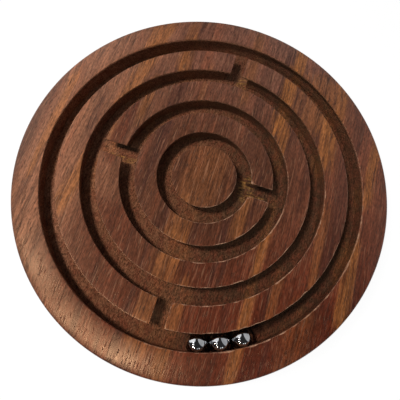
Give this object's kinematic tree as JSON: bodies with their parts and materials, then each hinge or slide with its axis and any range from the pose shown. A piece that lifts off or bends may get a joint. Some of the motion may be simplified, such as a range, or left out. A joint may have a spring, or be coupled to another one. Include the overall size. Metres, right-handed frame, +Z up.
{
  "type": "ball labyrinth puzzle",
  "caption": "Round wooden dexterity puzzle: a turned disc with concentric undercut grooves joined by slots, in which loose steel balls roll towards the middle as it is tilted.",
  "frame": {"origin": "centre of the flat underside", "axes": "+Z up out of the grooved face; +X through the slot of the innermost wall; the two slots of the outer wall lie on +Y and -Y"},
  "size_m": [0.116, 0.116, 0.019],
  "materials": {
    "wood": "satin oiled hardwood with dark and golden streaks",
    "steel": "polished"
  },
  "bodies": {
    "board": {"board": "wood"},
    "ball_left": {"ball_left": "steel"},
    "ball_middle": {"ball_middle": "steel"},
    "ball_right": {"ball_right": "steel"}
  },
  "joints": [
    {"name": "middle_roll", "type": "hinge", "parent": "board", "child": "ball_middle", "pos_m": [0, 0, 0.01523], "axis": [0, 0, 1], "continuous": true},
    {"name": "left_roll", "type": "hinge", "parent": "ball_middle", "child": "ball_left", "pos_m": [0, 0, 0.01523], "axis": [0, 0, 1], "range_deg": [-168, 0]},
    {"name": "right_roll", "type": "hinge", "parent": "ball_middle", "child": "ball_right", "pos_m": [0, 0, 0.01523], "axis": [0, 0, 1], "range_deg": [0, 168]}
  ]
}
